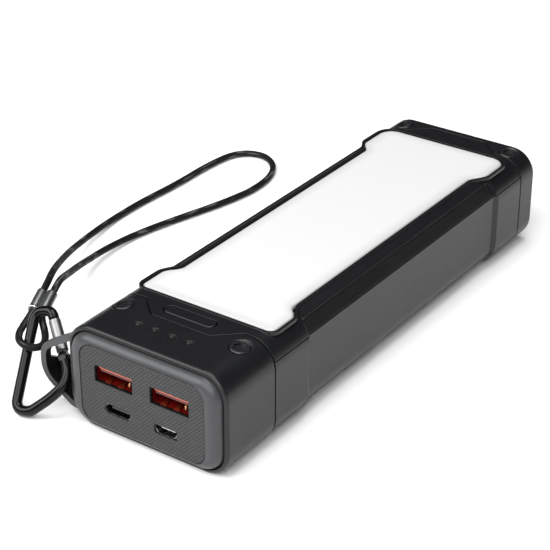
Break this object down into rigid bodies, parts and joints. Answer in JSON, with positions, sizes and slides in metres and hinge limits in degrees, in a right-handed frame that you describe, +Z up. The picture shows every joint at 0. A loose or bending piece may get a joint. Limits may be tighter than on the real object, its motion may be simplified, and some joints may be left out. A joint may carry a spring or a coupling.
{
  "type": "power bank",
  "caption": "Slim portable power bank with a long lamp panel on top, charging sockets at one end, a side lug with a wire carabiner and a wrist lanyard.",
  "frame": {"origin": "middle of the housing on the surface it rests on, on the flat keel under the waist", "axes": "+Z up through the lamp panel, +Y along the housing away from the sockets, -X towards the lanyard lug"},
  "size_m": [0.1235, 0.1807, 0.0323],
  "materials": {
    "shell_black": "fine satin moulded texture, nearly black",
    "bezel_grey": "satin dark grey, soft highlight on its rounded edge",
    "inlay_weave": "dark grey with a fine raised diamond weave",
    "diffuser_white": "milky white translucent lens",
    "key_black": "satin black",
    "light_pipe": "smoked clear plastic",
    "screw_black": "black coated, hexagon socket",
    "socket_orange": "orange-red moulded insulator",
    "socket_steel": "pressed nickel-plated steel",
    "contact_gold": "gold-plated contact strips",
    "tongue_black": "moulded black",
    "board_green": "solder-masked laminate",
    "chip_black": "moulded package",
    "ferrite_grey": "pressed ferrite",
    "led_board_white": "white solder mask",
    "led_yellow": "phosphor-coated",
    "reflector_white": "white moulded",
    "cell_blue": "shrink-wrapped can",
    "cell_paper": "insulating sheet",
    "nickel": "plain nickel strip",
    "lead_red": "silicone insulation",
    "lead_black": "silicone insulation",
    "switch_white": "moulded plunger",
    "carabiner_black": "gloss black enamel on steel wire",
    "gate_steel": "polished tube",
    "spring_steel": "plain wire",
    "ferrule_metal": "gunmetal, satin",
    "cord_braid": "black round braid with grey flecks"
  },
  "bodies": {
    "housing": {"front_cap": "shell_black", "rear_cap": "shell_black", "rear_plate": "shell_black", "top_frame": "shell_black", "side_frame": "shell_black", "bottom_cover": "shell_black", "lanyard_lug": "bezel_grey", "front_bezel": "bezel_grey", "port_inlay": "inlay_weave", "light_diffuser": "diffuser_white", "reflector_ring": "reflector_white", "led_board": "led_board_white", "led_chips": "led_yellow", "tact_switch": "chip_black", "control_board": "board_green", "indicator_leds": "led_yellow", "indicator_light_pipes": "light_pipe", "cap_screws_front": "screw_black", "cap_screws_rear": "screw_black", "usb_a_shell_left": "socket_steel", "usb_a_shell_right": "socket_steel", "usb_a_insulator_left": "socket_orange", "usb_a_insulator_right": "socket_orange", "usb_a_contacts_left": "contact_gold", "usb_a_contacts_right": "contact_gold", "usb_c_shell": "socket_steel", "usb_c_tongue": "tongue_black", "micro_usb_shell": "socket_steel", "micro_usb_tongue": "tongue_black", "main_board": "board_green", "usb_a_board": "board_green", "board_header": "chip_black", "power_inductors": "ferrite_grey", "controller_chips": "chip_black", "battery_cell_1": "cell_blue", "battery_cell_2": "cell_blue", "battery_cell_3": "cell_blue", "battery_cell_4": "cell_blue", "cell_insulator_front": "cell_paper", "cell_insulator_rear": "cell_paper", "nickel_strips": "nickel", "battery_lead_red": "lead_red", "battery_lead_black": "lead_black"},
    "button": {"power_button": "key_black", "switch_plunger": "switch_white"},
    "carabiner": {"carabiner_body": "carabiner_black", "gate_pin": "spring_steel", "lanyard_eye": "cord_braid"},
    "gate": {"carabiner_gate": "gate_steel", "gate_spring": "spring_steel"},
    "lanyard": {"lanyard_ferrule": "ferrule_metal", "lanyard_cord": "cord_braid"}
  },
  "joints": [
    {"name": "power_button_press", "type": "slide", "parent": "housing", "child": "button", "axis": [0, 0, -1], "range_m": [0, 0.0004], "stiffness_N_per_m": 400, "springref_m": -0.0002},
    {"name": "carabiner_swing", "type": "hinge", "parent": "housing", "child": "carabiner", "pos_m": [-0.033, -0.083, 0.015], "axis": [0, 0, 1], "range_deg": [-8, 15]},
    {"name": "carabiner_gate_open", "type": "hinge", "parent": "carabiner", "child": "gate", "pos_m": [-0.03286, -0.08119, 0.01554], "axis": [0, -0.766, 0.6428], "range_deg": [0, 11], "stiffness_Nm_per_rad": 0.002, "springref_deg": -20.05},
    {"name": "lanyard_lift", "type": "hinge", "parent": "carabiner", "child": "lanyard", "pos_m": [-0.05087, -0.07197, 0.0215], "axis": [0.9432, 0.3321, 0], "range_deg": [0, 35]}
  ]
}
